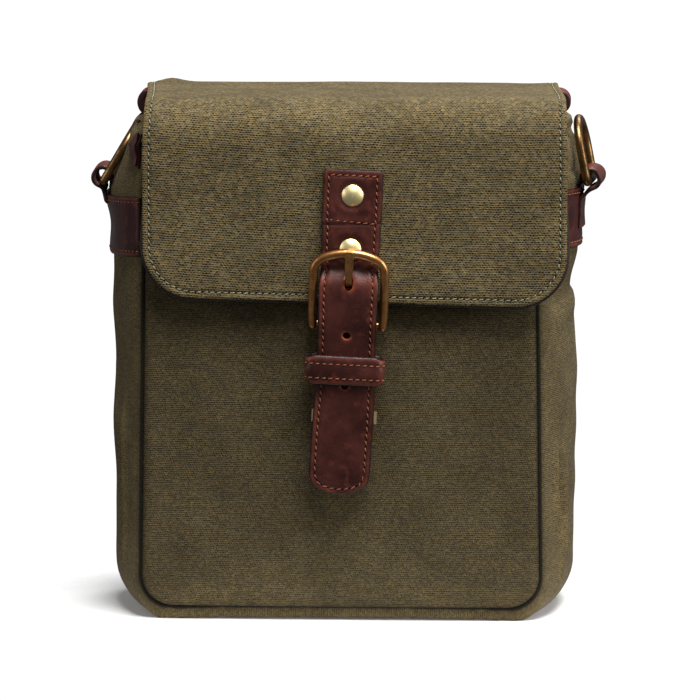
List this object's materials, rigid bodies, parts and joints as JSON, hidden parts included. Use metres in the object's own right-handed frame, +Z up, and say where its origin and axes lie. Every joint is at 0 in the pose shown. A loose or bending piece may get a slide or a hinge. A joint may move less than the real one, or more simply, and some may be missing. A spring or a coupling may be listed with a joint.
{
  "type": "satchel bag",
  "caption": "Compact upright canvas satchel with a wrap-over flap, leather strap-and-buckle closure, hidden clasp, side bands and D-rings for a shoulder strap.",
  "frame": {"origin": "centre of the flat underside that the bag stands on", "axes": "+X to the viewer's right when facing the strap, -Y out of the front, +Z up"},
  "size_m": [0.2696, 0.1277, 0.277],
  "materials": {
    "canvas": "waxed olive cotton canvas, matt",
    "lining": "plain woven tan cotton",
    "flap_lining": "dark brown woven lining",
    "foam": "closed-cell foam, never seen",
    "board": "stiff board, never seen",
    "leather": "dark red-brown oiled leather",
    "antique_brass": "aged brass, satin",
    "pale_brass": "light brass, satin"
  },
  "bodies": {
    "bag": {"front_panel": "canvas", "back_panel": "canvas", "gusset_left": "canvas", "gusset_base": "canvas", "gusset_right": "canvas", "lining": "lining", "foam_front": "foam", "foam_back": "foam", "foam_side_left": "foam", "foam_side_right": "foam", "foam_base": "foam", "base_board": "board", "side_band_left": "leather", "side_band_right": "leather", "ring_tab_left": "leather", "ring_tab_right": "leather", "corner_tab_left": "leather", "corner_tab_right": "leather", "flap_anchor": "canvas", "lock_plate": "antique_brass", "lock_backplate": "antique_brass"},
    "flap_top": {"flap_crown": "canvas", "flap_crown_lining": "flap_lining"},
    "flap_front": {"flap_drop": "canvas", "flap_drop_lining": "flap_lining", "strap_upper": "leather", "strap_rivet": "pale_brass"},
    "closure": {"strap_lower": "leather", "strap_snap": "pale_brass", "chape": "leather", "chape_rivets": "antique_brass", "keeper": "leather", "clasp_case": "antique_brass", "clasp_tongue": "antique_brass"},
    "buckle": {"buckle_frame": "antique_brass"},
    "prong": {"buckle_prong": "antique_brass"},
    "squeeze_left": {"squeeze_tab_left": "pale_brass"},
    "squeeze_right": {"squeeze_tab_right": "pale_brass"},
    "ring_left": {"dring_left": "antique_brass"},
    "ring_right": {"dring_right": "antique_brass"}
  },
  "joints": [
    {"name": "flap_hinge", "type": "hinge", "parent": "bag", "child": "flap_top", "pos_m": [0, 0.0515, 0.26], "axis": [-1, 0, 0], "range_deg": [0, 190]},
    {"name": "flap_shoulder", "type": "hinge", "parent": "flap_top", "child": "flap_front", "pos_m": [0, -0.04165, 0.277], "axis": [-1, 0, 0], "range_deg": [0, 75]},
    {"name": "strap_swing", "type": "hinge", "parent": "flap_front", "child": "closure", "pos_m": [0.00541, -0.0652, 0.21282], "axis": [-0.9992, 0, 0.0401], "range_deg": [0, 75]},
    {"name": "buckle_tip", "type": "hinge", "parent": "closure", "child": "buckle", "pos_m": [0.00329, -0.0626, 0.16007], "axis": [0.9992, 0, -0.0401], "range_deg": [0, 2]},
    {"name": "prong_lift", "type": "hinge", "parent": "buckle", "child": "prong", "pos_m": [0.00329, -0.0626, 0.16007], "axis": [0.9992, 0, -0.0401], "range_deg": [0, 1.5]},
    {"name": "squeeze_left_in", "type": "slide", "parent": "closure", "child": "squeeze_left", "axis": [0.9992, 0, -0.0401], "range_m": [0, 0.0015], "stiffness_N_per_m": 200, "springref_m": -0.001},
    {"name": "squeeze_right_in", "type": "slide", "parent": "closure", "child": "squeeze_right", "axis": [-0.9992, 0, 0.0401], "range_m": [0, 0.0015], "stiffness_N_per_m": 200, "springref_m": -0.001},
    {"name": "ring_left_swing", "type": "hinge", "parent": "bag", "child": "ring_left", "pos_m": [-0.1276, 0, 0.2294], "axis": [0, -1, 0], "range_deg": [0, 200]},
    {"name": "ring_right_swing", "type": "hinge", "parent": "bag", "child": "ring_right", "pos_m": [0.1276, 0, 0.2294], "axis": [0, 1, 0], "range_deg": [0, 183]}
  ]
}
